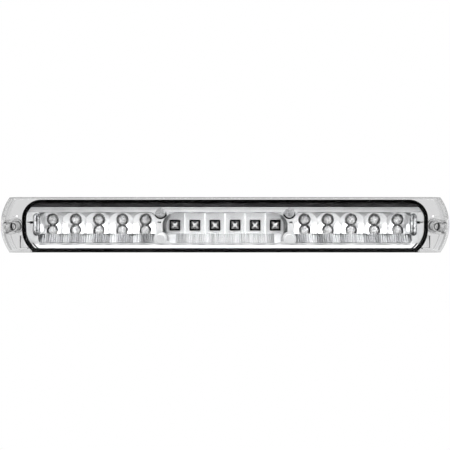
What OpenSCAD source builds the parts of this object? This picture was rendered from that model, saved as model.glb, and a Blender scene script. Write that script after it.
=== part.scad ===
// Third brake light with a cargo lamp in the middle, for the back of a cab roof.
// X runs along the lamp, -Y is the way it shines, +Y is the vehicle, +Z is up.
// The origin is midway between the two ear screws, on the vehicle's panel at y = 0.
// Heights are counted from the middle of the lens, which is lifted to suit the screws.

/* [Lens] */
// Length over the ears
lens_w = 398; // [390:1:410]
// Height
lens_h = 49; // [49:0.5:51]
// Front of the lens, ahead of the panel
lens_front = 22; // [22:0.5:24]
// Thickness of the front wall
lens_t = 2.4; // [2:0.1:2.6]
// Thickness of the side walls
lens_wall = 2.1; // [1.6:0.1:2.1]
// Radius of the bulged ends
end_r = 42; // [40:1:44]
// Radius along the front edges
front_r = 2.2; // [1.2:0.1:2.4]

/* [Ears] */
// Distance between the two ear screws
ear_pitch = 382; // [380:1:384]
// Radius of the screw holes
ear_hole_r = 2.7; // [2.2:0.1:3]
// Radius of the wells that take the screw heads
ear_well_r = 4.4; // [4:0.1:4.8]
// Wall around each well
ear_well_wall = 2.2; // [2:0.1:2.4]

/* [Housing] */
// Half the length of the housing's rim
rim_half_w = 181; // [180:0.1:182]
// Top of the rim, above the lens's middle
rim_top = 22.3; // [21:0.1:22.3]
// Width of the rim around the inside
rim_wall = 3.3; // [3:0.1:3.6]
// Half the length of the rear tub, which goes through the panel
tub_half_w = 172; // [171:0.5:173]
// Depth of the rear tub behind the panel
tub_depth = 18; // [17:0.5:24]
// Wall of the rear tub
tub_wall = 2.2; // [2:0.1:2.4]

/* [Brake lamps] */
// Bowls on each side
bowls = 5; // [5:1:5]
// Distance between bowls
bowl_pitch = 21; // [20.5:0.1:21]
// Radius of a bowl's mouth
bowl_r = 12.3; // [11.5:0.1:12.5]
// Radius of the small round cup around each LED
cup_r = 5.2; // [4.6:0.1:5.4]
// Distance between the two LEDs of a bowl
cup_pitch = 10.1; // [10:0.1:10.5]

/* [Cargo lamp] */
// LEDs in the cargo lamp
windows = 6; // [6:2:6]
// Distance between them
window_pitch = 18.2; // [17:0.1:18.4]
// Outside of each square frame
frame_w = 9.3; // [9:0.1:10]
// Inside of each square frame
frame_hole_w = 6.9; // [6.5:0.1:7.2]

/* [Hidden] */
$fn = 64;
eps = 0.05;
gap = 0.3;

// Where the outline's middle lies above the screws
lift = 2;
// Depths: y of each layer, from the front to the back
lens_back = -1;
lens_inner = lens_t - lens_front;
rim_front = -17;
ledge_front = -16;
bezel_lip = -16.4;
bezel_front = -15;
bezel_back = -13.2;
bezel_skirt_back = -8;
reflector_front = -13;
reflector_back = -1.2;
board_front = -1;
board_t = 1.6;
board_back = board_front + board_t;
step_front = -5.2;
gasket_t = 3;
tub_back = tub_depth;
tub_floor = tub_back - tub_wall;

// Foot of each screw well, and the seal ring that lies on it
well_back = -4;
ring_t = 1.2;
ring_r = 4.3;
ring_hole_r = 3.2;

// Small corners of the lens, where the bulged ends meet the long edges
lens_corner_r = 2;
front_r_steps = 4;

// Thin webs inside each ear
web_t = 1;
web_back = -8;
web_upper_x = 188;
web_upper_z = 6.6;
web_upper_w = 9;
web_corner_x = 182;
web_corner_z = -21.3;
web_upright_h = 11.8;
web_foot_w = 6.5;

// The rim's outline: upright ends, rounded upper corners, and long arcs down to the bottom edge
rim_bottom = -lens_h / 2;
rim_top_r = 17;
rim_low_r = 25;
rim_low_z = -3.9;
rim_knee_r = 8;
ledge_z = 15.8;
tub_top = 15.2;
tub_bottom = -20.2;
tub_corner_r = 6;

// The seal: a groove in the rim, filled with sealant around the lens's rib
groove_inset = 0.9;
groove_w = 1.5;
groove_back = -11;
sealant_front = -16.6;
rib_inset = 1.2;
rib_w = 0.9;
rib_back = -12;

// The bezel's level face, and the lip that slopes up around it
face_half_w = 172.5;
face_top = 11;
face_bottom = -17.2;
lip_half_w = 177;
lip_top = 15.1;
lip_bottom = -20.6;
skirt_t = 1.2;

// Compartments, as seen through the bezel
opening_top = 10.4;
opening_bottom = -16.5;
side_inner = 61;
side_outer = 167.2;
side_corner_r = 3;
cargo_half_w = 56;
cargo_corner_r = 11;
slope_top = -8.4;
slope_back = -9.4;
cargo_slope_back = -7.2;
shelf_t = 0.4;
shelf_inset = 0.6;
reflector_rim = 0.9;
reed_pitch = 2.1;
reed_depth = 0.6;
reed_base = 0.12;
reed_clear = 2.5;
reed_steps = 4;
end_roll_x = 168.6;
end_roll_r = 3.1;
end_roll_top = 7;
end_roll_bottom = -7;

// Bezel bosses, between the compartments
boss_x = 57.6;
boss_z = [10.8, -12.6];
boss_r = 4.5;
boss_front = -16.2;
boss_bevel = 0.7;
boss_collar = 1.7;
crescent_w = 0.8;
boss_stem_r = 3.9;
boss_stem_back = -2;
boss_notch_r = 5.6;
pilot_front = -11;
slot_w = 4;
slot_h = 0.9;
slot_z = 2.1;
slot_x = [59.2, 174.6];

// Screws
screw_r = 1.5;
screw_head_r = 2.9;
screw_head_t = 2;
screw_play = 0.2;
post_r = 4.2;
post_bore_r = 1.8;
board_screw_r = 1;
board_screw_head_r = 1.9;
board_screw_head_t = 1.4;
board_screw_front = -5.5;
side_screw_x = [82.5, 145.5];
side_screw_z = 9.2;
cargo_screw_x = 36.4;

// LEDs
led_z = -0.9;
led_r = 4.6;
led_flange_r = 4.85;
led_flange_t = 1;
led_body_front = -4.6;
bowl_floor = -8;
bowl_steps = 10;
window_z = -1;
window_play = 0.25;
tray_floor = -7;
fin_r = 0.8;
square_led_w = 7.6;
square_led_front = -5;
frame_front = -8.6;
lens_cap_w = 6.7;
lens_cap_base = -5.6;
lens_cap_front = -7.4;

// Boards and what is soldered to their backs
side_board_x = [63, 166];
board_z = [-14, 11];
cargo_board_half_w = 52.5;
chip_size = [6.3, 0.6, 3.2];
chip_z = -9;
chip_pitch = 21;
diode_size = [4.5, 2.2, 2.6];
diode_z = 6;
terminal_r = 0.8;
terminal_len = 3.2;
terminal_x = [66, 50];
terminal_z = [0, -4];
inlet_terminal_x = [-8, 0, 8];
inlet_terminal_z = 5;
wire_r = 0.7;
wire_y = board_back + terminal_len - wire_r;

// Grommet and breather in the back of the tub
grommet_x = 0;
grommet_z = -4;
grommet_bore_r = 3.2;
grommet_neck_r = 6;
grommet_lip_r = 8.2;
grommet_lip_t = 2;
grommet_nose = 3;
breather_x = 60;
breather_z = 0;
breather_hole_r = 1.6;
breather_r = 6;
breather_t = 0.5;

function unit(v) = v / norm(v);
function corner_half_angle(p, a, b) = acos(unit(a - p) * unit(b - p)) / 2;
function before(points, i) = points[(i + len(points) - 1) % len(points)];
function after(points, i) = points[(i + 1) % len(points)];
// The point that lies d inside both edges that meet at corner i
function inside_corner(points, i, d) =
    let (p = points[i], a = before(points, i), b = after(points, i))
    p + unit(unit(a - p) + unit(b - p)) * d / sin(corner_half_angle(p, a, b));
function tangents(points, i, r) =
    let (p = points[i], a = before(points, i), b = after(points, i))
    let (reach = r / tan(corner_half_angle(p, a, b)))
    [p + unit(a - p) * reach, p + unit(b - p) * reach];
function bowl_x(i) = side_inner + 0.5 + bowl_pitch * (i + 0.5);
function window_x(i) = window_pitch * (i - (windows - 1) / 2);
function rect(x0, x1, z0, z1) = [[x1, z1], [x0, z1], [x0, z0], [x1, z0]];

// A flat outline in X and Z, made solid from one depth to another
module slab(front, back)
    translate([0, back, 0]) rotate([90, 0, 0]) linear_extrude(back - front) children();

module rod(x, z, r, front, back)
    slab(front, back) translate([x, z]) circle(r);

module ball(x, y, z, r)
    translate([x, y, z]) sphere(r);

// A convex outline with a radius at each corner
module rounded(points, radii) {
    polygon([for (i = [0:len(points) - 1]) each tangents(points, i, radii[i])]);
    for (i = [0:len(points) - 1])
        translate(inside_corner(points, i, radii[i])) circle(radii[i]);
}

module lens_outline(d) {
    half_w = lens_w / 2 - d;
    half_h = lens_h / 2 - d;
    r = end_r - d;
    corner = max(lens_corner_r - d, gap);
    centre_x = half_w - r;
    corner_z = half_h - corner;
    corner_x = centre_x + sqrt(pow(r - corner, 2) - pow(corner_z, 2));
    join_z = corner_z * r / (r - corner);
    square([2 * corner_x, 2 * half_h], center = true);
    for (side = [-1, 1]) {
        intersection() {
            translate([side * centre_x, 0]) circle(r);
            translate([side * half_w, 0]) square([2 * r, 2 * join_z], center = true);
        }
        for (up = [-1, 1])
            translate([side * corner_x, up * corner_z]) circle(corner);
    }
}

module rim_outline(d) {
    half_w = rim_half_w - d;
    top_x = rim_half_w - rim_top_r;
    top_z = rim_top - rim_top_r;
    low_x = rim_half_w - rim_low_r;
    reach = rim_low_r - rim_knee_r;
    knee_z = rim_bottom + rim_knee_r;
    knee_x = low_x + sqrt(pow(reach, 2) - pow(rim_low_z - knee_z, 2));
    join_z = rim_low_z - (rim_low_z - knee_z) * (rim_low_r - d) / reach;
    polygon(rect(-half_w, half_w, rim_low_z, top_z));
    polygon(rect(-top_x, top_x, rim_low_z, rim_top - d));
    polygon(rect(-knee_x, knee_x, rim_bottom + d, rim_low_z + eps));
    for (side = [-1, 1]) {
        translate([side * top_x, top_z]) circle(rim_top_r - d);
        intersection() {
            translate([side * low_x, rim_low_z]) circle(rim_low_r - d);
            polygon(rect(-half_w - 1, half_w + 1, join_z, top_z));
        }
        translate([side * knee_x, knee_z]) circle(rim_knee_r - d);
    }
}

module rim_band(outer, inner) {
    difference() {
        rim_outline(outer);
        rim_outline(inner);
    }
}

module tub_outline(d) {
    corner = tub_corner_r - d;
    rounded(rect(d - tub_half_w, tub_half_w - d, tub_bottom + d, tub_top - d),
            [corner, corner, corner, corner]);
}

// What the rounded front edge takes away: depth behind the front, and distance in from the side
function front_edge_cut() = concat(
    [for (i = [0:front_r_steps]) let (a = 90 * i / front_r_steps)
        [front_r * (1 - cos(a)) - eps * cos(a), front_r * (1 - sin(a)) - eps * sin(a)]],
    [[front_r, -1], [-1, -1], [-1, front_r]]);

// Straight along the top and bottom, and turned around each end
module front_edge_cuts() {
    for (up = [0, 1])
        mirror([0, 0, up])
            translate([-lens_w / 2, -lens_front, lens_h / 2]) rotate([90, 0, 90])
                linear_extrude(lens_w)
                    polygon([for (p = front_edge_cut()) [p[0], -p[1]]]);
    for (side = [0, 1])
        mirror([side, 0, 0])
            intersection() {
                translate([lens_w / 2 - end_r, -lens_front, 0])
                    rotate([-90, 0, 0]) rotate_extrude()
                        translate([end_r, 0])
                            polygon([for (p = front_edge_cut()) [-p[1], p[0]]]);
                translate([lens_w / 2 - end_r / 4, -lens_front - 1, -lens_h / 2])
                    cube([end_r, lens_front, lens_h]);
            }
}

module ear_webs() {
    slab(lens_inner - eps, web_back) {
        translate([web_upper_x, web_upper_z]) square([web_upper_w, web_t]);
        translate([web_corner_x, web_corner_z]) square([web_t, web_upright_h]);
        translate([web_corner_x - web_foot_w, web_corner_z]) square([web_foot_w + eps, web_t]);
    }
}

module outer_lens() color([0.9, 0.92, 0.94, 0.45]) translate([0, 0, lift]) {
    foot_r = 7.5;
    open_half_w = 173;
    difference() {
        union() {
            difference() {
                slab(-lens_front, lens_back) lens_outline(0);
                slab(lens_inner, lens_back + 1) lens_outline(lens_wall);
                translate([-open_half_w, lens_inner, -lens_h])
                    cube([2 * open_half_w, lens_front, lens_h - 5]);
            }
            slab(lens_inner - eps, rib_back) rim_band(rib_inset, rib_inset + rib_w);
            for (side = [0, 1])
                mirror([side, 0, 0]) {
                    ear_webs();
                    rod(ear_pitch / 2, -lift, ear_well_r + ear_well_wall, -lens_front + 1, 0);
                    rod(ear_pitch / 2, -lift, foot_r, lens_back - 1, 0);
                }
        }
        front_edge_cuts();
        for (side = [-1, 1]) {
            rod(side * ear_pitch / 2, -lift, ear_well_r, -lens_front - 1, well_back);
            rod(side * ear_pitch / 2, -lift, ear_hole_r, -lens_front - 1, 1);
        }
    }
}

module lens_sealant() color([0.05, 0.05, 0.05]) translate([0, 0, lift]) difference() {
    slab(sealant_front, groove_back) rim_band(groove_inset, groove_inset + groove_w);
    slab(sealant_front - 1, rib_back) rim_band(rib_inset, rib_inset + rib_w);
}

module boss_places() {
    for (side = [-1, 1])
        for (z = boss_z)
            translate([side * boss_x, 0, z]) children();
}

module housing() color([0.1, 0.1, 0.1]) translate([0, 0, lift]) difference() {
    union() {
        slab(rim_front, step_front + eps) rim_band(0, rim_wall);
        slab(ledge_front, step_front + eps) intersection() {
            rim_outline(rim_wall - eps);
            translate([-rim_half_w, ledge_z]) square([2 * rim_half_w, lens_h]);
        }
        slab(step_front, -gasket_t) difference() {
            rim_outline(0);
            tub_outline(tub_wall);
        }
        slab(step_front, tub_back) difference() {
            tub_outline(0);
            tub_outline(tub_wall);
        }
        slab(tub_floor, tub_back) tub_outline(0);
        boss_places() rod(0, 0, post_r, boss_stem_back + gap, tub_floor + eps);
    }
    slab(rim_front - 1, groove_back) rim_band(groove_inset, groove_inset + groove_w);
    boss_places() {
        rod(0, 0, post_bore_r, boss_stem_back - 1, tub_back + 1);
        rod(0, 0, screw_head_r + screw_play, tub_back - screw_head_t - gap, tub_back + 1);
    }
    rod(grommet_x, grommet_z, grommet_neck_r, tub_floor - 1, tub_back + 1);
    rod(breather_x, breather_z, breather_hole_r, tub_floor - 1, tub_back + 1);
}

module mounting_gasket() color([0.16, 0.16, 0.17]) translate([0, 0, lift])
    slab(-gasket_t, 0) difference() {
        rim_outline(1);
        tub_outline(-gap);
    }

module bezel_outline(d) {
    intersection() {
        rim_outline(rim_wall + gap + d);
        translate([-rim_half_w, -lens_h]) square([2 * rim_half_w, lens_h + ledge_z - gap - d]);
    }
}

// The space in front of the bezel's face: level in the middle, sloping forward to the lip all round
module bezel_recess() {
    clear = bezel_lip - 1;
    intersection() {
        translate([-lens_w / 2, 0, 0]) rotate([90, 0, 90]) linear_extrude(lens_w)
            polygon([[clear, lip_bottom], [bezel_lip, lip_bottom], [bezel_front, face_bottom],
                     [bezel_front, face_top], [bezel_lip, lip_top], [clear, lip_top]]);
        translate([0, 0, -lens_h / 2]) linear_extrude(lens_h)
            polygon([[-lip_half_w, clear], [-lip_half_w, bezel_lip], [-face_half_w, bezel_front],
                     [face_half_w, bezel_front], [lip_half_w, bezel_lip], [lip_half_w, clear]]);
    }
}

module opening_corner_bosses(r) {
    for (side = [-1, 1])
        for (z = boss_z)
            translate([side * boss_x, z]) circle(r);
}

module side_opening() {
    rounded(rect(side_inner, side_outer, opening_bottom, opening_top),
            [side_corner_r, side_corner_r, side_corner_r, side_corner_r]);
}

module cargo_opening() {
    rounded(rect(-cargo_half_w, cargo_half_w, opening_bottom, opening_top),
            [cargo_corner_r, cargo_corner_r, cargo_corner_r, cargo_corner_r]);
}

module end_roll() {
    translate([end_roll_x, bezel_back, end_roll_bottom])
        cylinder(h = end_roll_top - end_roll_bottom, r = end_roll_r);
    ball(end_roll_x, bezel_back, end_roll_top, end_roll_r);
    ball(end_roll_x, bezel_back, end_roll_bottom, end_roll_r);
}

module boss() {
    rod(0, 0, boss_r, boss_front + boss_bevel, bezel_back);
    translate([0, boss_front + boss_bevel, 0]) rotate([90, 0, 0])
        cylinder(h = boss_bevel, r1 = boss_r, r2 = boss_r - boss_bevel);
    rod(0, 0, boss_stem_r, bezel_back - eps, boss_stem_back);
}

module bezel() color([0.85, 0.86, 0.88]) translate([0, 0, lift]) difference() {
    union() {
        difference() {
            slab(bezel_lip, bezel_back) difference() {
                bezel_outline(0);
                difference() {
                    union() {
                        side_opening();
                        mirror([1, 0]) side_opening();
                        cargo_opening();
                    }
                    opening_corner_bosses(boss_r + boss_collar);
                }
            }
            bezel_recess();
        }
        slab(bezel_back - eps, bezel_skirt_back) difference() {
            bezel_outline(0);
            bezel_outline(skirt_t);
        }
        for (side = [0, 1])
            mirror([side, 0, 0]) intersection() {
                end_roll();
                slab(bezel_front - end_roll_r, bezel_back) square(2 * lens_w, center = true);
            }
        boss_places() boss();
    }
    boss_places() rod(0, 0, screw_r, pilot_front, boss_stem_back + 1);
    for (side = [-1, 1])
        slab(bezel_lip, bezel_back + eps) translate([side * boss_x, boss_z[0]]) difference() {
            circle(boss_r + crescent_w);
            circle(boss_r);
            polygon(rect(-lens_h, lens_h, 0, lens_h));
        }
    for (side = [-1, 1])
        for (x = slot_x)
            slab(bezel_lip - 1, bezel_back + 1)
                translate([side * x, slot_z]) square([slot_w, slot_h], center = true);
}

// The room above the shelf: over the slope from its low front edge, and over its level top
module above_shelf(top_y, reach) {
    rise = slope_top - opening_bottom;
    run = top_y - reflector_front;
    translate([-reach, 0, 0]) rotate([90, 0, 90]) linear_extrude(2 * reach)
        polygon([[reflector_front - run, opening_bottom - rise], [top_y, slope_top],
                 [1, slope_top], [1, lens_h], [reflector_front - run, lens_h]]);
}

// The shelf's reeds: a row of half-round ridges laid along the slope
module reeds(x0, x1, top_y) {
    rise = slope_top - opening_bottom;
    run = top_y - reflector_front;
    count = floor((x1 - x0) / reed_pitch);
    start = (x0 + x1 - count * reed_pitch) / 2;
    ridges = [for (i = [0:count - 1]) for (step = [0:reed_steps - 1])
        [start + (i + step / reed_steps) * reed_pitch,
         reed_base + reed_depth * sin(180 * step / reed_steps)]];
    translate([0, reflector_front, opening_bottom])
        rotate([atan2(rise, run), 0, 0]) rotate([90, 0, 180]) mirror([1, 0, 0])
            translate([0, 0, gap]) linear_extrude(norm([rise, run]) - 2 * gap)
                polygon([each ridges, [start + count * reed_pitch, reed_base],
                         [start + count * reed_pitch, -eps], [start, -eps]]);
}

// A bowl as a solid of revolution about its own middle, to be cut away: a parabola
module bowl_space() {
    depth = bowl_floor - reflector_front + eps;
    translate([0, bowl_floor, 0]) rotate([90, 0, 0]) rotate_extrude()
        polygon([for (i = [0:bowl_steps]) let (t = i / bowl_steps) [bowl_r * t, depth * t * t],
                 [0, depth]]);
}

module cup_pair(r) {
    for (up = [-1, 1])
        translate([0, up * cup_pitch / 2]) circle(r);
}

module side_reflector() {
    block = rect(side_inner - reflector_rim, side_outer + reflector_rim,
                 opening_bottom - reflector_rim, opening_top + reflector_rim);
    difference() {
        slab(reflector_front, reflector_back) difference() {
            polygon(block);
            opening_corner_bosses(boss_notch_r);
        }
        intersection() {
            union() {
                for (i = [0:bowls - 1])
                    translate([bowl_x(i), 0, led_z]) {
                        bowl_space();
                        slab(reflector_front - 1, slope_back + shelf_t + gap) cup_pair(cup_r);
                    }
                slab(reflector_front - 1, slope_back)
                    polygon(rect(side_inner + shelf_inset, side_outer - shelf_inset,
                                 opening_bottom, slope_top));
            }
            above_shelf(slope_back, lens_w / 2);
            slab(reflector_front - 1, 1)
                polygon(rect(0, lens_w / 2, opening_bottom, opening_top));
        }
        for (i = [0:bowls - 1])
            translate([bowl_x(i), 0, led_z]) slab(slope_back + shelf_t, 0) cup_pair(cup_r + screw_play);
        for (x = side_screw_x)
            rod(x, side_screw_z, board_screw_r, board_screw_front - gap, 0);
    }
    reeds(side_inner + reed_clear, side_outer - reflector_rim, slope_back);
}

module left_reflector() color([0.8, 0.81, 0.83]) translate([0, 0, lift])
    mirror([1, 0, 0]) side_reflector();

module right_reflector() color([0.8, 0.81, 0.83]) translate([0, 0, lift]) side_reflector();

module cargo_reflector() color([0.8, 0.81, 0.83]) translate([0, 0, lift]) {
    half_w = cargo_half_w + 1;
    difference() {
        slab(reflector_front, reflector_back) difference() {
            polygon(rect(-half_w, half_w, opening_bottom - reflector_rim,
                         opening_top + reflector_rim));
            opening_corner_bosses(boss_notch_r);
        }
        intersection() {
            slab(reflector_front - 1, tray_floor) difference() {
                cargo_opening();
                opening_corner_bosses(boss_r + boss_collar + gap);
            }
            above_shelf(cargo_slope_back, lens_w / 2);
        }
        window_places()
            slab(tray_floor - 1, 0) square(frame_w + 2 * window_play, center = true);
        for (side = [-1, 1])
            rod(side * cargo_screw_x, window_z, board_screw_r, board_screw_front - gap, 0);
    }
    reeds(-cargo_half_w + cargo_corner_r, cargo_half_w - cargo_corner_r, cargo_slope_back);
    for (i = [0:windows - 2])
        translate([window_x(i) + window_pitch / 2, tray_floor, slope_top])
            cylinder(h = opening_top - slope_top + eps, r = fin_r);
}

module round_led() {
    rod(0, 0, led_flange_r, board_front - led_flange_t, board_front);
    rod(0, 0, led_r, led_body_front, board_front);
    ball(0, led_body_front, 0, led_r);
}

module brake_leds() {
    for (i = [0:bowls - 1])
        for (up = [-1, 1])
            translate([bowl_x(i), 0, led_z + up * cup_pitch / 2]) round_led();
}

module left_brake_leds() color([0.85, 0.8, 0.8]) translate([0, 0, lift])
    mirror([1, 0, 0]) brake_leds();

module right_brake_leds() color([0.85, 0.8, 0.8]) translate([0, 0, lift]) brake_leds();

module window_places() {
    for (i = [0:windows - 1])
        translate([window_x(i), 0, window_z]) children();
}

module cargo_leds() color([0.93, 0.9, 0.75]) translate([0, 0, lift])
    window_places() {
        slab(square_led_front, board_front) square(square_led_w, center = true);
    }

// A clear cap with four sloping facets that meet in a cross
module cargo_led_lenses() color([0.9, 0.92, 0.93]) translate([0, 0, lift])
    window_places() {
        slab(lens_cap_base, square_led_front) square(lens_cap_w, center = true);
        translate([0, lens_cap_base, 0]) rotate([90, 45, 0])
            cylinder(h = lens_cap_base - lens_cap_front, r1 = lens_cap_w / sqrt(2), r2 = gap,
                     $fn = 4);
    }

module cargo_led_frames() color([0.08, 0.08, 0.08]) translate([0, 0, lift])
    window_places() {
        slab(frame_front, square_led_front) difference() {
            square(frame_w, center = true);
            square(frame_hole_w, center = true);
        }
    }

module side_board() {
    difference() {
        slab(board_front, board_back) difference() {
            polygon(rect(side_board_x[0], side_board_x[1], board_z[0], board_z[1]));
            opening_corner_bosses(boss_notch_r + 1);
        }
        for (x = side_screw_x)
            rod(x, side_screw_z, board_screw_r + screw_play, board_front - 1, board_back + 1);
    }
}

module left_brake_board() color([0.85, 0.87, 0.85]) translate([0, 0, lift])
    mirror([1, 0, 0]) side_board();

module right_brake_board() color([0.85, 0.87, 0.85]) translate([0, 0, lift]) side_board();

module cargo_board() color([0.85, 0.87, 0.85]) translate([0, 0, lift]) difference() {
    slab(board_front, board_back) difference() {
        polygon(rect(-cargo_board_half_w, cargo_board_half_w, board_z[0], board_z[1]));
        opening_corner_bosses(boss_notch_r + 1);
    }
    for (side = [-1, 1])
        rod(side * cargo_screw_x, window_z, board_screw_r + screw_play, board_front - 1,
            board_back + 1);
}

module bezel_screws() color([0.6, 0.6, 0.62]) translate([0, 0, lift])
    boss_places() difference() {
        union() {
            rod(0, 0, screw_r, pilot_front + 1, tub_back - screw_head_t);
            rod(0, 0, screw_head_r, tub_back - screw_head_t - gap, tub_back - gap);
        }
        slab(tub_back - screw_head_t / 2 - gap, tub_back) {
            square([2 * screw_r, screw_head_t / 3], center = true);
            square([screw_head_t / 3, 2 * screw_r], center = true);
        }
    }

module board_screw(x, z) {
    rod(x, z, board_screw_r, board_screw_front, board_back + eps);
    rod(x, z, board_screw_head_r, board_back, board_back + board_screw_head_t);
}

module board_screws() color([0.7, 0.7, 0.72]) translate([0, 0, lift])
    for (side = [-1, 1]) {
        for (x = side_screw_x)
            board_screw(side * x, side_screw_z);
        board_screw(side * cargo_screw_x, window_z);
    }

module on_board_back(x, z, size) {
    translate([x - size[0] / 2, board_back, z - size[2] / 2]) cube(size);
}

module dropping_resistors() color([0.12, 0.12, 0.13]) translate([0, 0, lift])
    for (side = [-1, 1]) {
        for (i = [0:bowls - 2])
            on_board_back(side * (bowl_x(i) + bowl_pitch / 2), chip_z, chip_size);
        on_board_back(side * chip_pitch, chip_z, chip_size);
    }

module polarity_diodes() color([0.2, 0.2, 0.2]) translate([0, 0, lift]) {
    for (side = [-1, 1])
        on_board_back(side * bowl_x(0), diode_z, diode_size);
    on_board_back(chip_pitch, diode_z, diode_size);
}

module wire_terminals() color([0.8, 0.78, 0.7]) translate([0, 0, lift]) {
    for (side = [-1, 1])
        for (x = terminal_x)
            for (z = terminal_z)
                rod(side * x, z, terminal_r, board_back, board_back + terminal_len - 2 * wire_r);
    for (x = inlet_terminal_x)
        rod(x, inlet_terminal_z, terminal_r, board_back, board_back + terminal_len);
}

// A short insulated wire that bridges the end boards to the middle one
module jumper_wires() color([0.6, 0.1, 0.1]) translate([0, 0, lift])
    for (side = [-1, 1])
        for (z = terminal_z) {
            translate([side * terminal_x[1], wire_y, z]) rotate([0, side * 90, 0])
                cylinder(h = terminal_x[0] - terminal_x[1], r = wire_r);
            for (x = terminal_x)
                ball(side * x, wire_y, z, wire_r);
        }

module wire_grommet() color([0.07, 0.07, 0.07]) translate([0, 0, lift]) difference() {
    union() {
        rod(grommet_x, grommet_z, grommet_lip_r, tub_floor - grommet_lip_t, tub_floor);
        rod(grommet_x, grommet_z, grommet_neck_r, tub_floor - eps, tub_back + eps);
        rod(grommet_x, grommet_z, grommet_lip_r, tub_back, tub_back + grommet_lip_t);
        rod(grommet_x, grommet_z, grommet_neck_r, tub_back + grommet_lip_t - eps,
            tub_back + grommet_lip_t + grommet_nose);
    }
    rod(grommet_x, grommet_z, grommet_bore_r, tub_floor - grommet_lip_t - 1,
        tub_back + grommet_lip_t + grommet_nose + 1);
}

module vent_membrane() color([0.9, 0.9, 0.9]) translate([0, 0, lift])
    rod(breather_x, breather_z, breather_r, tub_back, tub_back + breather_t);

module ear_seal_rings() color([0.06, 0.06, 0.06]) translate([0, 0, lift])
    for (side = [-1, 1])
        slab(well_back - ring_t, well_back) translate([side * ear_pitch / 2, -lift]) difference() {
            circle(ring_r);
            circle(ring_hole_r);
        }

outer_lens();
lens_sealant();
housing();
mounting_gasket();
bezel();
left_reflector();
right_reflector();
cargo_reflector();
left_brake_leds();
right_brake_leds();
cargo_leds();
cargo_led_lenses();
cargo_led_frames();
left_brake_board();
right_brake_board();
cargo_board();
bezel_screws();
board_screws();
dropping_resistors();
polarity_diodes();
wire_terminals();
jumper_wires();
wire_grommet();
vent_membrane();
ear_seal_rings();
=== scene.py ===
import math

import bmesh
import bpy
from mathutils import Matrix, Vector

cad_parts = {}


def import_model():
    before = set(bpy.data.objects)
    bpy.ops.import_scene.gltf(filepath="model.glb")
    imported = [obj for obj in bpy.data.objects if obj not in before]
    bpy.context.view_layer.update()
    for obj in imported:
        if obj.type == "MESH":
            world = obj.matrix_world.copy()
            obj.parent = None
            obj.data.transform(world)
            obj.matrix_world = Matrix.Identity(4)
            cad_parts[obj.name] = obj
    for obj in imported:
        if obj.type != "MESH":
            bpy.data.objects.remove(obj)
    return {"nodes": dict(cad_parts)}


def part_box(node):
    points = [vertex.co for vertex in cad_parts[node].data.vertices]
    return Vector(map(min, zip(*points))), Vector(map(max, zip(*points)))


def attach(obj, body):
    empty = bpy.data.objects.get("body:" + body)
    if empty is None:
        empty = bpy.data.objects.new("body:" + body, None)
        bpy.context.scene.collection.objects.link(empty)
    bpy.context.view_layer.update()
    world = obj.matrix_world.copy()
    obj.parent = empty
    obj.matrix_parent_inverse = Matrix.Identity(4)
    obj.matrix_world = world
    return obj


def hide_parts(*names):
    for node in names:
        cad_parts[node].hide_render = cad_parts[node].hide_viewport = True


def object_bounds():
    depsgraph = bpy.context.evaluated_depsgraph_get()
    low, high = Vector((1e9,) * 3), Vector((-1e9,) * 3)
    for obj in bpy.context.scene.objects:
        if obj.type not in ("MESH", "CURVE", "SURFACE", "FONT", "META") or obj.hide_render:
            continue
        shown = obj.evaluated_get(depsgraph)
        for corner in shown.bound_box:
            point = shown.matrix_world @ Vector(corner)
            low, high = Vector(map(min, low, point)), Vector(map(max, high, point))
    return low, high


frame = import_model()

MM = 0.001
MIDDLE = 2 * MM                   # height of the outline's middle; the screws are at 0
SHELF_TOP = MIDDLE - 8.4 * MM     # upper edge of the reeded shelves
HARD_DEG = 32.0                   # edges sharper than this stay hard
nodes = frame["nodes"]
cad_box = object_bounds()
scene = bpy.context.scene


# ---------------------------------------------------------------- small tools

def add_node(tree, kind, **settings):
    node = tree.nodes.new(kind)
    for key, value in settings.items():
        setattr(node, key, value)
    return node


def placed(name, data):
    """A new object in the scene."""
    obj = bpy.data.objects.new(name, data)
    scene.collection.objects.link(obj)
    return obj


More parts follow.
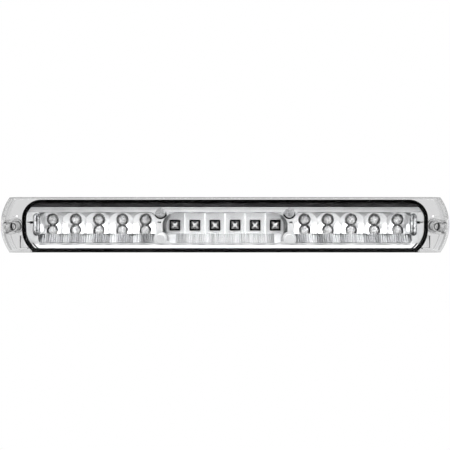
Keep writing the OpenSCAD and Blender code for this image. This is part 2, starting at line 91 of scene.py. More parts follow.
class Shader:
    """A material whose Principled shader is fed by small procedural networks.

    Masks run from 0 to 1, and lengths are in metres on the object's own axes.
    """

    def __init__(self, name, **constants):
        self.material = bpy.data.materials.new(name)
        self.material.use_nodes = True
        self.tree = self.material.node_tree
        self.bsdf = self.tree.nodes["Principled BSDF"]
        for socket, value in constants.items():
            self.bsdf.inputs[socket.replace("_", " ")].default_value = value
        self.place = add_node(self.tree, "ShaderNodeTexCoord").outputs["Object"]

    def noise(self, scale, detail=4.0, stretch=(1, 1, 1)):
        mapping = add_node(self.tree, "ShaderNodeMapping")
        mapping.inputs["Scale"].default_value = stretch
        self.tree.links.new(self.place, mapping.inputs["Vector"])
        tex = add_node(self.tree, "ShaderNodeTexNoise")
        tex.inputs["Scale"].default_value = scale
        tex.inputs["Detail"].default_value = detail
        tex.inputs["Roughness"].default_value = 0.55
        self.tree.links.new(mapping.outputs["Vector"], tex.inputs["Vector"])
        return tex.outputs["Fac"]

    def ramp(self, value, low, high, frm=0.3, to=0.7):
        """Low up to frm, high from to on, and a straight run between."""
        node = add_node(self.tree, "ShaderNodeMapRange")
        node.inputs["From Min"].default_value = frm
        node.inputs["From Max"].default_value = to
        node.inputs["To Min"].default_value = low
        node.inputs["To Max"].default_value = high
        self.tree.links.new(value, node.inputs["Value"])
        return node.outputs["Result"]

    def rise(self, value, frm, to):
        return self.ramp(value, 0.0, 1.0, frm, to)

    def fall(self, value, frm, to):
        return self.ramp(value, 1.0, 0.0, frm, to)

    def within(self, value, low, high, soft=0.1 * MM):
        """1 between two limits, 0 outside them."""
        return self.times(self.rise(value, low - soft, low + soft),
                          self.fall(value, high - soft, high + soft))

    def colours(self, value, dark, light, low=0.3, high=0.7):
        """One colour up to low, the other from high on, and a blend between."""
        node = add_node(self.tree, "ShaderNodeValToRGB")
        for element, at, colour in zip(node.color_ramp.elements, (low, high), (dark, light)):
            element.position = at
            element.color = (*colour, 1)
        self.tree.links.new(value, node.inputs["Fac"])
        return node.outputs["Color"]

    def mirrored_axes(self):
        """The distance from the lamp's middle to either side, the depth and the height."""
        split = add_node(self.tree, "ShaderNodeSeparateXYZ")
        self.tree.links.new(self.place, split.inputs[0])
        return self.calc("ABSOLUTE", split.outputs["X"]), split.outputs["Y"], split.outputs["Z"]

    def calc(self, operation, a, b=None):
        node = add_node(self.tree, "ShaderNodeMath", operation=operation)
        for socket, value in zip(node.inputs, (a, b)):
            if isinstance(value, (int, float)):
                socket.default_value = value
            elif value is not None:
                self.tree.links.new(value, socket)
        return node.outputs[0]

    def minus(self, a, b):
        return self.calc("SUBTRACT", a, b)

    def off(self, value, centre):
        return self.calc("ABSOLUTE", self.minus(value, centre))

    def length(self, a, b):
        return self.calc("SQRT", self.calc("ADD", self.calc("POWER", a, 2), self.calc("POWER", b, 2)))

    def times(self, first, *others):
        for other in others:
            first = self.calc("MULTIPLY", first, other)
        return first

    def highest(self, first, *others):
        for other in others:
            first = self.calc("MAXIMUM", first, other)
        return first

    def mix(self, factor, a, b):
        node = add_node(self.tree, "ShaderNodeMix", data_type="RGBA")
        for socket, value in zip((node.inputs[0], node.inputs[6], node.inputs[7]), (factor, a, b)):
            self.tree.links.new(value, socket)
        return node.outputs[2]

    def feed(self, socket, output):
        self.tree.links.new(output, self.bsdf.inputs[socket])

    def bump(self, height, strength, distance):
        node = add_node(self.tree, "ShaderNodeBump")
        node.inputs["Strength"].default_value = strength
        node.inputs["Distance"].default_value = distance
        self.tree.links.new(height, node.inputs["Height"])
        self.tree.links.new(node.outputs["Normal"], self.bsdf.inputs["Normal"])


def finish_mesh(bm, mesh, hard_deg=HARD_DEG):
    """Smooth faces, with edges sharper than the angle left hard."""
    bm.normal_update()
    for face in bm.faces:
        face.smooth = True
    for edge in bm.edges:
        edge.smooth = (len(edge.link_faces) == 2
                       and edge.calc_face_angle(0) < math.radians(hard_deg))
    bm.to_mesh(mesh)
    bm.free()


def settle(piece, material, slot, *replaced):
    """Gives a finished piece its material, and its place in the frame."""
    piece.data.materials.clear()
    piece.data.materials.append(material)
    if replaced:
        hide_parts(*replaced)
    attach(piece, "root")


def break_edges(bm, edges, width):
    bmesh.ops.bevel(bm, geom=edges, offset=width, segments=2, profile=0.5,
                    affect="EDGES", clamp_overlap=True)


def refined(node, name, material, slot, broken, hard_deg):
    """A CAD node's shape, welded, cleared of flat seams, with its hard edges broken, as a new piece."""
    mesh = bpy.data.meshes.new(name)
    bm = bmesh.new()
    bm.from_mesh(nodes[node].data)
    bmesh.ops.remove_doubles(bm, verts=bm.verts, dist=0.002 * MM)
    bmesh.ops.dissolve_limit(bm, angle_limit=math.radians(0.4), verts=bm.verts, edges=bm.edges)
    if broken:
        break_edges(bm, [e for e in bm.edges if len(e.link_faces) == 2
                         and e.calc_face_angle(0) > math.radians(hard_deg)], broken)
    bmesh.ops.triangulate(bm, faces=[f for f in bm.faces if len(f.verts) > 4])
    finish_mesh(bm, mesh, hard_deg)
    settle(placed(name, mesh), material, slot, node)


# ---------------------------------------------------------------- materials
# Places in them are the CAD's own: x from the lamp's middle, z up, and y 0 at the panel, minus ahead of it.

def clear_plastic():
    """Clear, with painted shade: grey on the long borders, greyer in the screw wells, dark round the wells'
    feet and on the webs' edges; a dark ring on each well's seat.
    """
    ear_x = 191 * MM                                  # a screw well's axis
    well_r, wall_r = 4.2 * MM, 6.8 * MM               # a well's inside and outside
    well_front = -21.6 * MM
    ring_r, ring_y = (3.9 * MM, 5.2 * MM), -0.4 * MM  # dark ring on the well's seat
    collar_y = (-6.6 * MM, -3.9 * MM)                 # painted shade: dark band round the foot of the well's inside
    root_y = (-4.8 * MM, -2.4 * MM)                   # painted shade: dark band round the foot of its outside
    web_x, web_width, web_reach = 182 * MM, MM, 6.6 * MM
    web_low, web_high = MIDDLE - 21.3 * MM, MIDDLE - 9.5 * MM
    web_front, upright_back, foot_back = -19.4 * MM, -16.4 * MM, -13.2 * MM
    border = 24.5 * MM                                # from the middle height to the lens's edge
    spill, crisp = 0.05 * MM, 0.02 * MM
    s = Shader("clear polycarbonate", Transmission_Weight=1.0, IOR=1.22, Roughness=0.0)
    x, y, z = s.mirrored_axes()
    around = s.length(s.minus(x, ear_x), z)
    tower = s.times(s.within(around, well_r, wall_r), s.rise(y, well_front, well_front + MM))
    seat = s.times(s.within(around, *ring_r), s.rise(y, ring_y, ring_y + 0.1 * MM))
    collar = s.times(s.within(around, well_r - 0.3 * MM, well_r + 0.4 * MM, spill),
                     s.within(y, *collar_y))
    root = s.times(s.within(around, wall_r - 0.4 * MM, wall_r + 0.1 * MM, spill),
                   s.within(y, *root_y))
    # painted shade: dark edges on the corner webs
    upright = s.times(s.within(x, web_x - spill, web_x + web_width + spill, crisp),
                      s.within(z, web_low - 2 * spill, web_high, crisp),
                      s.fall(y, upright_back - 0.4 * MM, upright_back))
    foot = s.times(s.within(x, web_x - web_reach, web_x + web_width, crisp),
                   s.within(z, web_low - spill, web_low + web_width + spill, crisp),
                   s.fall(y, foot_back - 0.4 * MM, foot_back))
    webs = s.times(s.highest(upright, foot), s.rise(y, web_front, web_front + 0.1 * MM))
    # painted shade: the lens's long upper and lower borders are tinted grey
    edge = s.rise(s.off(z, MIDDLE), border - 0.9 * MM, border - 0.6 * MM)
    clear = s.colours(s.noise(35), (0.94, 0.943, 0.945), (0.965, 0.967, 0.97))
    shaded = s.colours(s.noise(90), (0.42, 0.423, 0.425), (0.56, 0.563, 0.565))
    # painted shade: the thick walls of the screw wells are tinted greyer
    tower_shade = s.colours(s.noise(260), (0.56, 0.563, 0.565), (0.72, 0.723, 0.725))
    dull = s.colours(s.noise(200, 3), (0.02, 0.02, 0.021), (0.07, 0.07, 0.072))
    tint = s.mix(tower, s.mix(edge, clear, shaded), tower_shade)
    # one dark colour for the painted shade on the webs and round the wells' feet, and for the dark ring on
    # the seats
    s.feed("Base Color", s.mix(s.highest(webs, seat, collar, root), tint, dull))
    s.feed("Roughness", s.ramp(s.noise(60, 3), 0.0, 0.02))
    return s.material


def black_plastic():
    """Black, and a little paler on the ledge behind the rim."""
    ledge_y = (-16.2 * MM, -15.8 * MM)
    s = Shader("black housing plastic", Roughness=0.42, Specular_IOR_Level=0.1)
    rim = s.colours(s.noise(180, 5), (0.003, 0.003, 0.0034), (0.007, 0.007, 0.0075))
    ledge = s.colours(s.noise(260, stretch=(0.2, 1, 1)), (0.014, 0.014, 0.015), (0.045, 0.045, 0.047))
    s.feed("Base Color", s.mix(s.within(s.mirrored_axes()[1], *ledge_y), rim, ledge))
    s.feed("Roughness", s.ramp(s.noise(400, 3), 0.34, 0.5))
    s.bump(s.noise(2600, 2), 0.14, 0.05 * MM)
    return s.material


def sealant():
    s = Shader("black sealant", Roughness=0.3, Specular_IOR_Level=0.12)
    s.feed("Base Color", s.colours(s.noise(90), (0.002, 0.002, 0.002), (0.005, 0.005, 0.005)))
    s.feed("Roughness", s.ramp(s.noise(150), 0.22, 0.42))
    s.bump(s.noise(500, 3), 0.5, 0.15 * MM)
    return s.material


def foam():
    s = Shader("gasket foam", Roughness=0.95)
    s.feed("Base Color", s.colours(s.noise(1500), (0.018, 0.018, 0.019), (0.06, 0.06, 0.062), 0.35, 0.65))
    s.bump(s.noise(2200, 5), 0.9, 0.4 * MM)
    return s.material


def side_reflector_chrome():
    """Bright bowls, the last one grey at its end; satin reeds; LED cups painted pale to lift their shade,
    with painted shade along part of each cup's edge.
    """
    first_x, pitch, bowls = 61.5 * MM, 21 * MM, 5
    row_z, led_rise, cup_r = MIDDLE - 0.9 * MM, 5.05 * MM, 5.2 * MM
    s = Shader("reflector chrome", Metallic=0.88)
    x, _, z = s.mirrored_axes()
    across = s.minus(s.calc("MODULO", s.minus(x, first_x), pitch), pitch / 2)
    reach = s.length(across, s.minus(s.off(z, row_z), led_rise))
    above = s.rise(z, SHELF_TOP - 0.1 * MM, SHELF_TOP + 0.1 * MM)
    inner = s.times(s.fall(across, -1 * MM, 1.5 * MM),
                    s.rise(z, row_z - led_rise - MM, row_z - led_rise + MM))
    # painted shade: a dark arc on the bowl round each cup's edge, on its side towards the lamp's middle
    outline = s.times(above, inner, s.fall(reach, cup_r + 0.7 * MM, cup_r + 0.9 * MM))
    # painted light: the cup walls are made pale and less metallic, to lift the shade inside the cups
    cups = s.times(above, s.fall(reach, cup_r + 0.02 * MM, cup_r + 0.05 * MM))
    reeds = s.fall(z, SHELF_TOP - 0.3 * MM, SHELF_TOP + 0.1 * MM)
    gaps = s.rise(across, 3.8 * MM, 4.6 * MM)         # paler reeds between the bowls
    last = s.rise(x, first_x + (bowls - 0.28) * pitch, first_x + (bowls - 0.18) * pitch)
    grain = s.noise(200, stretch=(4, 1, 1))
    lines = s.noise(75, 2, stretch=(1, 0.01, 0.01))
    bright = s.mix(last, s.colours(grain, (0.92, 0.925, 0.93), (0.97, 0.972, 0.975)),
                   s.colours(grain, (0.42, 0.425, 0.43), (0.6, 0.605, 0.61)))
    satin = s.mix(gaps, s.colours(lines, (0.13, 0.132, 0.135), (0.36, 0.364, 0.37), 0.36, 0.64),
                  s.colours(lines, (0.32, 0.324, 0.33), (0.54, 0.544, 0.55), 0.36, 0.64))
    dark = s.colours(grain, (0.06, 0.061, 0.062), (0.16, 0.161, 0.163))
    pale = s.colours(grain, (0.86, 0.865, 0.87), (0.94, 0.945, 0.95))
    s.feed("Base Color", s.mix(cups, s.mix(outline, s.mix(reeds, bright, satin), dark), pale))
    s.feed("Roughness", s.ramp(reeds, 0.09, 0.3, 0.0, 1.0))
    s.feed("Metallic", s.minus(s.ramp(reeds, 0.62, 0.88, 0.0, 1.0), s.ramp(cups, 0.0, 0.45, 0.0, 1.0)))
    s.bump(s.noise(150, 3), 0.06, 0.2 * MM)
    return s.material


def tray_finish():
    """Pale metallised plastic, shaded on the curved end walls and deeper in the end cells and reeds."""
    half_w, half_h, corner = 56 * MM, 13.45 * MM, 11 * MM
    middle_z = MIDDLE - 3.05 * MM
    end_cell = 37 * MM
    s = Shader("tray finish", Metallic=0.35)
    x, _, z = s.mirrored_axes()
    along = s.highest(s.minus(x, half_w - corner), 0.0)
    up = s.highest(s.minus(s.off(z, middle_z), half_h - corner), 0.0)
    wall = s.times(s.rise(s.length(along, up), corner - 3.2 * MM, corner - 2.6 * MM),
                   s.rise(x, half_w - 7 * MM, half_w - 4 * MM))
    reeds = s.fall(z, SHELF_TOP - 0.3 * MM, SHELF_TOP + 0.1 * MM)
    flat_end = s.times(reeds, s.rise(x, half_w - corner - 0.4 * MM, half_w - corner))
    ends = s.rise(x, end_cell, end_cell + 0.6 * MM)
    grain = s.noise(160)
    lines = s.noise(150, 2, stretch=(1, 0.01, 0.01))
    cells = s.mix(ends, s.colours(grain, (0.9, 0.905, 0.91), (0.95, 0.955, 0.96)),
                  s.colours(grain, (0.72, 0.724, 0.73), (0.8, 0.804, 0.81)))
    ridge = s.mix(ends, s.colours(lines, (0.44, 0.444, 0.45), (0.74, 0.744, 0.75), 0.35, 0.65),
                  s.colours(lines, (0.3, 0.304, 0.31), (0.56, 0.564, 0.57), 0.35, 0.65))
    plain_end = s.colours(grain, (0.42, 0.424, 0.43), (0.56, 0.564, 0.57))
    shade = s.colours(grain, (0.16, 0.162, 0.165), (0.3, 0.303, 0.306))
    colour = s.mix(flat_end, s.mix(reeds, cells, ridge), plain_end)
    s.feed("Base Color", s.mix(wall, colour, shade))
    s.feed("Roughness", s.ramp(grain, 0.3, 0.4))
    s.bump(s.noise(120, 3), 0.08, 0.2 * MM)
    return s.material


def bezel_chrome():
    """Bright metallised plastic with its lines, dark arcs, white panels and mottled rolls; painted shade
    greys the upper slope and the mottled upper bosses, and darkens a crescent under each of those bosses
    and broken lines over and under the windows.
    """
    roll_x, roll_r, roll_half = 168.6 * MM, 3 * MM, 10 * MM
    boss_x, boss_z, boss_r = 57.6 * MM, MIDDLE + 10.8 * MM, 4.5 * MM
    face_top, line_z, foot_z = MIDDLE + 11 * MM, MIDDLE + 14 * MM, MIDDLE - 17.5 * MM
    corner_x, corner_z, corner_r = 156 * MM, MIDDLE - 3.9 * MM, 20.1 * MM
    slot_z = MIDDLE + 1.85 * MM                       # height of the slots and of their marks
    window_top, window_end = MIDDLE + 10.4 * MM, 167.2 * MM
    panel_x = (56 * MM, 61 * MM)
    s = Shader("bezel chrome", Metallic=0.4)
    x, _, z = s.mirrored_axes()
    roll_edge = roll_x + roll_r
    roll_up = s.highest(s.minus(s.off(z, MIDDLE), roll_half - roll_r), 0.0)
    roll = s.fall(s.length(s.minus(x, roll_x), roll_up), roll_r - 0.1 * MM, roll_r + 0.1 * MM)
    roll_ends = s.rise(s.off(z, MIDDLE), 5 * MM, 7.5 * MM)
    reach = s.length(s.minus(x, boss_x), s.minus(z, boss_z))
    boss = s.fall(reach, boss_r - 0.3 * MM, boss_r)
    # painted shade: a black crescent in the gap under each upper boss
    crescent = s.times(s.within(reach, boss_r, boss_r + 1.5 * MM),
                       s.fall(z, boss_z - 2.2 * MM, boss_z - 1.2 * MM))
    line = s.within(z, line_z - 0.3 * MM, line_z + 0.3 * MM, 0.15 * MM)
    turn = s.length(s.minus(x, corner_x), s.minus(z, corner_z))
    arc = s.times(s.within(turn, corner_r - 0.55 * MM, corner_r + 0.55 * MM),
                  s.fall(z, corner_z - 13 * MM, corner_z - 12 * MM),
                  s.rise(x, corner_x + 7 * MM, corner_x + 9 * MM))
    bar = s.times(s.within(x, roll_edge - 0.2 * MM, roll_edge + 2.6 * MM),
                  s.within(z, slot_z - 1.05 * MM, slot_z + 1.05 * MM))
    mark = s.times(s.within(x, boss_x - 0.6 * MM, boss_x + 3.6 * MM),
                   s.within(z, slot_z - 0.5 * MM, slot_z + 0.95 * MM))
    # painted shade: broken dark lines under and over the windows, in the gap to the reflectors
    foot = s.times(s.within(z, foot_z - 0.4 * MM, foot_z + 0.4 * MM, 0.12 * MM),
                   s.fall(x, corner_x + 9 * MM, corner_x + 11 * MM))
    brow = s.times(s.within(z, window_top - 0.2 * MM, window_top + 0.55 * MM, 0.12 * MM),
                   s.fall(x, window_end - MM, window_end),
                   s.rise(reach, boss_r + 2.5 * MM, boss_r + 3.5 * MM))
    panel = s.times(s.within(x, *panel_x, 0.5 * MM),
                    s.within(z, boss_z - 16 * MM, boss_z - 5.5 * MM, 0.6 * MM))
    plate = s.colours(s.noise(45, 3), (0.84, 0.844, 0.85), (0.89, 0.894, 0.9))
    # painted shade: the upper slope above the windows is greyer than the plate
    upper = s.colours(s.noise(60, 3, stretch=(1, 1, 3)), (0.7, 0.705, 0.71), (0.87, 0.875, 0.88))
    thin = s.colours(s.noise(60, 3), (0.3, 0.303, 0.306), (0.46, 0.463, 0.466))
    flecks = s.noise(420, 2)
    mottle = s.mix(roll_ends, s.colours(flecks, (0.12, 0.121, 0.123), (0.46, 0.464, 0.47), 0.36, 0.56),
                   s.colours(flecks, (0.03, 0.031, 0.033), (0.3, 0.304, 0.31), 0.4, 0.66))
    # painted shade: only the upper bosses are greyed, mottled
    dull = s.colours(s.noise(600, 3), (0.3, 0.302, 0.305), (0.66, 0.664, 0.67), 0.34, 0.66)
    black = s.colours(s.noise(300, 3), (0.015, 0.015, 0.015), (0.04, 0.04, 0.04))
    broken = s.colours(s.noise(75, 2, stretch=(1, 0.01, 0.01)), (0.12, 0.121, 0.123),
                       (0.55, 0.553, 0.557), 0.42, 0.6)
    white = s.colours(s.noise(60, 3), (0.96, 0.962, 0.965), (0.99, 0.99, 0.992))
    # painted shade: the upper slope greys further towards the lamp's ends
    far = s.calc("ADD", s.ramp(x, 0.0, 0.33, 50 * MM, 65 * MM), s.ramp(x, 0.0, 0.3, 110 * MM, 165 * MM))
    colour = s.mix(s.rise(z, face_top - 0.2 * MM, face_top + 0.2 * MM), plate, s.mix(far, upper, thin))
    for mask, other in ((line, thin), (foot, broken), (brow, broken), (panel, white), (roll, mottle),
                        (boss, dull), (crescent, black), (arc, black), (bar, black), (mark, thin)):
        colour = s.mix(mask, colour, other)
    s.feed("Base Color", colour)
    s.feed("Roughness", s.ramp(s.noise(220), 0.14, 0.22))
    s.bump(s.noise(120, 3), 0.08, 0.2 * MM)
    return s.material


def epoxy():
    """Partly clear epoxy, mottled in colour and in relief."""
    s = Shader("clear epoxy", Transmission_Weight=0.28, IOR=1.4, Roughness=0.03)
    s.feed("Base Color", s.colours(s.noise(620, 3), (0.5, 0.502, 0.505), (0.99, 0.99, 0.992), 0.36, 0.6))
    s.feed("Roughness", s.ramp(s.noise(300, 3), 0.16, 0.34))
    s.bump(s.noise(620, 3), 0.3, 0.4 * MM)
    return s.material


def plain(name, dark, light, scale, rough_low, rough_high, bump=0.1, **constants):
    """Two close shades and a fine grain."""
    s = Shader(name, **constants)
    s.feed("Base Color", s.colours(s.noise(scale), dark, light, 0.32, 0.68))
    s.feed("Roughness", s.ramp(s.noise(scale * 2, 3), rough_low, rough_high))
    s.bump(s.noise(scale * 4, 3), bump, 0.1 * MM)
    return s.material


lens_mat = clear_plastic()
black_mat = black_plastic()
seal_mat = sealant()
foam_mat = foam()
bezel_mat = bezel_chrome()
bowl_mat = side_reflector_chrome()
tray_mat = tray_finish()
epoxy_mat = epoxy()
led_body_mat = plain("LED body", (0.94, 0.94, 0.93), (0.99, 0.99, 0.985), 300, 0.25, 0.4)
facet_mat = plain("LED facets", (0.36, 0.36, 0.36), (0.5, 0.5, 0.5), 500, 0.1, 0.2, Metallic=0.3)
frame_mat = plain("frame plastic", (0.003, 0.003, 0.003), (0.007, 0.007, 0.007), 300, 0.35, 0.5,
                  Specular_IOR_Level=0.15)
board_mat = plain("board mask", (0.8, 0.81, 0.8), (0.88, 0.885, 0.88), 200, 0.35, 0.55)
steel_mat = plain("zinc plate", (0.5, 0.5, 0.52), (0.68, 0.68, 0.7), 500, 0.25, 0.42, Metallic=1.0)
chip_mat = plain("chip ceramic", (0.015, 0.015, 0.017), (0.03, 0.03, 0.033), 800, 0.4, 0.6)
diode_mat = plain("diode epoxy", (0.02, 0.02, 0.02), (0.035, 0.035, 0.035), 700, 0.35, 0.5)
tin_mat = plain("tinned metal", (0.6, 0.58, 0.54), (0.78, 0.76, 0.71), 600, 0.2, 0.4, Metallic=1.0)
wire_mat = plain("wire insulation", (0.3, 0.02, 0.02), (0.42, 0.035, 0.035), 200, 0.4, 0.55)
rubber_mat = plain("grommet rubber", (0.012, 0.012, 0.012), (0.028, 0.028, 0.028), 400, 0.6, 0.8)
membrane_mat = plain("vent membrane", (0.6, 0.6, 0.59), (0.72, 0.72, 0.71), 900, 0.75, 0.95, bump=0.4)


# ---------------------------------------------------------------- pieces

def wedge(bm, corners, depths, back):
    """A flat-backed block: corners are (x, z) in order, each with its own front depth."""
    front = [bm.verts.new((x, y, z)) for (x, z), y in zip(corners, depths)]
    rear = [bm.verts.new((x, back, z)) for x, z in corners]
    bm.faces.new(front)
    bm.faces.new(list(reversed(rear)))
    for i in range(len(corners)):
        k = (i + 1) % len(corners)
        bm.faces.new((front[k], front[i], rear[i], rear[k]))


def square(x, z, half):
    return [(x - half, z - half), (x + half, z - half), (x + half, z + half), (x - half, z + half)]


def from_blocks(name, blocks, broken, material, slot, *replaced):
    bm = bmesh.new()
    for corners, depths, back in blocks:
        wedge(bm, corners, depths, back)
    bmesh.ops.recalc_face_normals(bm, faces=bm.faces)
    break_edges(bm, list(bm.edges), broken)
    mesh = bpy.data.meshes.new(name)
    finish_mesh(bm, mesh)
    settle(placed(name, mesh), material, slot, *replaced)


def square_leds():
    """White bodies with a raised cross, and four grey facets between its arms."""
    count = 6
    low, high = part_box("cargo_led_lenses")
    body_low, body_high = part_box("cargo_leds")
    half = (high.z - low.z) / 2
    body_half = (body_high.z - body_low.z) / 2
    z = (high.z + low.z) / 2
    pitch = (high.x - low.x - 2 * half) / (count - 1)
    arm = 0.85 * MM                                   # from an arm's diagonal to its sides, along x or z
    reach = half - arm
    tip, edge = low.y + 0.05 * MM, high.y - 0.9 * MM  # front depth in the middle and at the edge
    back = body_low.y - 0.02 * MM
    spots = [(0.4 * half, 0), (0.94 * half, -0.54 * half), (0.94 * half, 0.54 * half)]
    spot_depths = [tip + 0.5 * MM, edge + 0.45 * MM, edge + 0.45 * MM]
    bodies, facets = [], []
    for i in range(count):
        x = low.x + half + i * pitch
        bodies.append((square(x, z, body_half), [body_low.y] * 4, body_high.y))
        for sx in (-1, 1):
            for sz in (-1, 1):
                bodies.append(([(x, z + sz * arm * 0.02), (x + sx * arm, z),
                                (x + sx * (reach + arm), z + sz * reach),
                                (x + sx * reach, z + sz * (reach + arm)), (x, z + sz * arm)],
                               [tip, tip, edge, edge, tip], back))
        for c, q in ((1, 0), (0, 1), (-1, 0), (0, -1)):
            facets.append(([(x + u * c - v * q, z + u * q + v * c) for u, v in spots],
                           spot_depths, back))
    from_blocks("cargo_leds_finish", bodies, 0.05 * MM, led_body_mat, "led_body", "cargo_leds")
    from_blocks("cargo_led_lenses_finish", facets, 0.08 * MM, facet_mat, "led_epoxy",
                "cargo_led_lenses")


def lead_frames(node, name):
    """The metal inside each round LED: a post with the die's cup, and a thinner post beside it."""
    flange_r = 4.85 * MM
    back = -1.9 * MM
    posts = ((-0.55 * MM, 0.7 * MM, -4.4 * MM),       # offset in x, half width, front depth
             (1.5 * MM, 0.4 * MM, -4.9 * MM))
    cup = ((0.8 * MM, -4.3 * MM), (1.35 * MM, -5.6 * MM),   # radius, depth
           (1.1 * MM, -5.6 * MM), (0.5 * MM, -4.7 * MM))
    sides, columns = 16, 5
    low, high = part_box(node)
    bm = bmesh.new()
    for i in range(columns):
        for z in (low.z + flange_r, high.z - flange_r):
            x = low.x + flange_r + i * (high.x - low.x - 2 * flange_r) / (columns - 1)
            for dx, half, front in posts:
                wedge(bm, square(x + dx, z, half), [front] * 4, back)
            turns = [2 * math.pi * k / sides for k in range(sides)]
            loops = [[bm.verts.new((x + posts[0][0] + r * math.cos(t), y, z + r * math.sin(t)))
                      for t in turns] for r, y in cup]
            for a, b in zip(loops, loops[1:]):
                for k in range(sides):
                    bm.faces.new((a[k], a[k - 1], b[k - 1], b[k]))
            bm.faces.new(loops[0])
            bm.faces.new(list(reversed(loops[-1])))
    bmesh.ops.recalc_face_normals(bm, faces=bm.faces)
    mesh = bpy.data.meshes.new(name)
    finish_mesh(bm, mesh)
    settle(placed(name, mesh), tin_mat, "terminal_metal")


square_leds()
lead_frames("left_brake_leds", "left_led_lead_frames")
lead_frames("right_brake_leds", "right_led_lead_frames")

PIECES = [
    # node, material, slot, width of the broken edges in mm
    ("outer_lens", lens_mat, "clear_lens", 0.0),
    ("lens_sealant", seal_mat, "sealant", 0.0),
    ("housing", black_mat, "housing_plastic", 0.12),
    ("mounting_gasket", foam_mat, "gasket_foam", 0.2),
    ("bezel", bezel_mat, "bezel_chrome", 0.0),
    ("left_reflector", bowl_mat, "reflector_chrome", 0.0),
    ("right_reflector", bowl_mat, "reflector_chrome", 0.0),
    ("cargo_reflector", tray_mat, "reflector_chrome", 0.0),
    ("left_brake_leds", epoxy_mat, "led_epoxy", 0.0),
    ("right_brake_leds", epoxy_mat, "led_epoxy", 0.0),
    ("cargo_led_frames", frame_mat, "frame_plastic", 0.1),
    ("left_brake_board", board_mat, "circuit_board", 0.1),
    ("right_brake_board", board_mat, "circuit_board", 0.1),
    ("cargo_board", board_mat, "circuit_board", 0.1),
    ("bezel_screws", steel_mat, "screw_steel", 0.12),
    ("board_screws", steel_mat, "screw_steel", 0.12),
    ("dropping_resistors", chip_mat, "chip_ceramic", 0.08),
    ("polarity_diodes", diode_mat, "chip_epoxy", 0.15),
    ("wire_terminals", tin_mat, "terminal_metal", 0.1),
    ("jumper_wires", wire_mat, "wire_insulation", 0.0),
    ("wire_grommet", rubber_mat, "grommet_rubber", 0.25),
    ("vent_membrane", membrane_mat, "membrane", 0.1),
    ("ear_seal_rings", rubber_mat, "grommet_rubber", 0.25),
]
BEZEL_HARD_DEG = 14               # its shallow steps stay crisp too
for node, material, slot, broken in PIECES:
    refined(node, node + "_finish", material, slot, broken * MM,
            BEZEL_HARD_DEG if node == "bezel" else HARD_DEG)


# ---------------------------------------------------------------- stage

def world(ahead=0.08, around=1.0, behind=0.72, overhead=1.5):
    """White all round, but dim straight ahead of the lamp, softer behind it and brighter above."""
    w = bpy.data.worlds.new("studio")
    scene.world = w
    w.use_nodes = True
    tree = w.node_tree
    background = tree.nodes["Background"]
    background.inputs["Color"].default_value = (1, 1, 1, 1)
    split = add_node(tree, "ShaderNodeSeparateXYZ")
    tree.links.new(add_node(tree, "ShaderNodeTexCoord").outputs["Generated"], split.inputs[0])

    def band(axis, low, high, to_low, to_high):
        ramp = add_node(tree, "ShaderNodeMapRange", interpolation_type="SMOOTHSTEP")
        for name, value in (("From Min", low), ("From Max", high),
                            ("To Min", to_low), ("To Max", to_high)):
            ramp.inputs[name].default_value = value
        tree.links.new(split.outputs[axis], ramp.inputs["Value"])
        return ramp.outputs["Result"]

    def calc(operation, a, b):
        node = add_node(tree, "ShaderNodeMath", operation=operation)
        tree.links.new(a, node.inputs[0])
        tree.links.new(b, node.inputs[1])
        return node.outputs[0]

    level = calc("SUBTRACT", band("Y", -0.93, -0.80, ahead, around),
                 band("Y", 0.2, 0.8, 0.0, around - behind))
    sky = calc("MULTIPLY", level, band("Z", 0.1, 0.7, 1.0, overhead))
    seen = add_node(tree, "ShaderNodeMix")            # the backdrop itself is seen white
    seen.inputs["B"].default_value = 1.0
    tree.links.new(add_node(tree, "ShaderNodeLightPath").outputs["Is Camera Ray"], seen.inputs["Factor"])
    tree.links.new(sky, seen.inputs["A"])
    tree.links.new(seen.outputs["Result"], background.inputs["Strength"])


def softbox(name, place, size, power):
    light = bpy.data.lights.new(name, "AREA")
    light.shape = "RECTANGLE"
    light.size, light.size_y = size
    light.energy = power
    lamp = placed(name, light)
    lamp.location = place
    lamp.rotation_euler = (-Vector(place)).to_track_quat("-Z", "Y").to_euler()


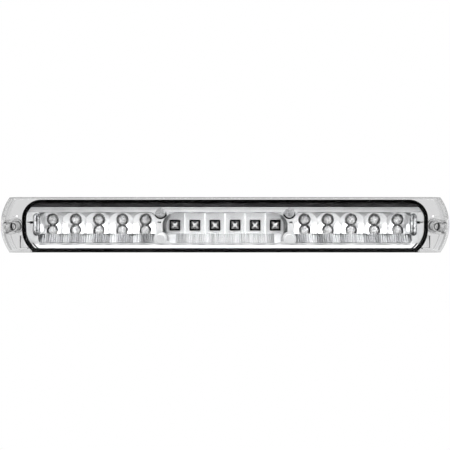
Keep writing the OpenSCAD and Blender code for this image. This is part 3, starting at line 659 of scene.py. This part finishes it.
def floor(half_width=3.0, drop=0.25):
    """Pale and plain; white to the camera, and grey in what it throws back up."""
    mesh = bpy.data.meshes.new("floor")
    z = cad_box[0].z - drop
    mesh.from_pydata([(x, y, z) for x, y in square(0, 0, half_width)], [], [(0, 1, 2, 3)])
    obj = placed("floor", mesh)
    s = Shader("pale floor", Roughness=0.7)
    s.feed("Base Color", s.colours(s.noise(6, 3), (0.3, 0.3, 0.3), (0.33, 0.33, 0.33)))
    glow = add_node(s.tree, "ShaderNodeEmission")
    glow.inputs["Color"].default_value = (1, 1, 1, 1)
    seen = add_node(s.tree, "ShaderNodeMixShader")
    s.tree.links.new(add_node(s.tree, "ShaderNodeLightPath").outputs["Is Camera Ray"], seen.inputs[0])
    s.tree.links.new(s.bsdf.outputs[0], seen.inputs[1])
    s.tree.links.new(glow.outputs[0], seen.inputs[2])
    s.tree.links.new(seen.outputs[0], s.tree.nodes["Material Output"].inputs["Surface"])
    mesh.materials.append(s.material)


world()
floor()
softbox("left box", (-1.0, -0.8, 0.25), (0.8, 1.0), 14)
softbox("right box", (1.0, -0.8, 0.25), (0.8, 1.0), 14)
softbox("top box", (0, -0.45, 1.0), (1.6, 0.5), 12)

# ---------------------------------------------------------------- camera

EYE_DISTANCE = 0.600              # assumed; the rest is fitted to the photo
EYE_RISE = 0.033                  # above the outline's middle
MM_PER_PIXEL = 0.918              # at the panel's plane
IMAGE = 450                       # pixels on a side
EYE_ROWS_UP = 37.3                # the camera's height is this many rows above the picture's middle
SENSOR = 36
camera_data = bpy.data.cameras.new("camera")
camera = placed("camera", camera_data)
scene.camera = camera
camera.location = (0, -EYE_DISTANCE, EYE_RISE + MIDDLE)
camera.rotation_euler = (math.radians(90), 0, 0)
camera_data.sensor_width = SENSOR
camera_data.lens = SENSOR * EYE_DISTANCE / (IMAGE * MM_PER_PIXEL * MM)
camera_data.clip_start = 0.01
camera_data.shift_y = -EYE_ROWS_UP / IMAGE
scene.view_settings.view_transform = "Standard"
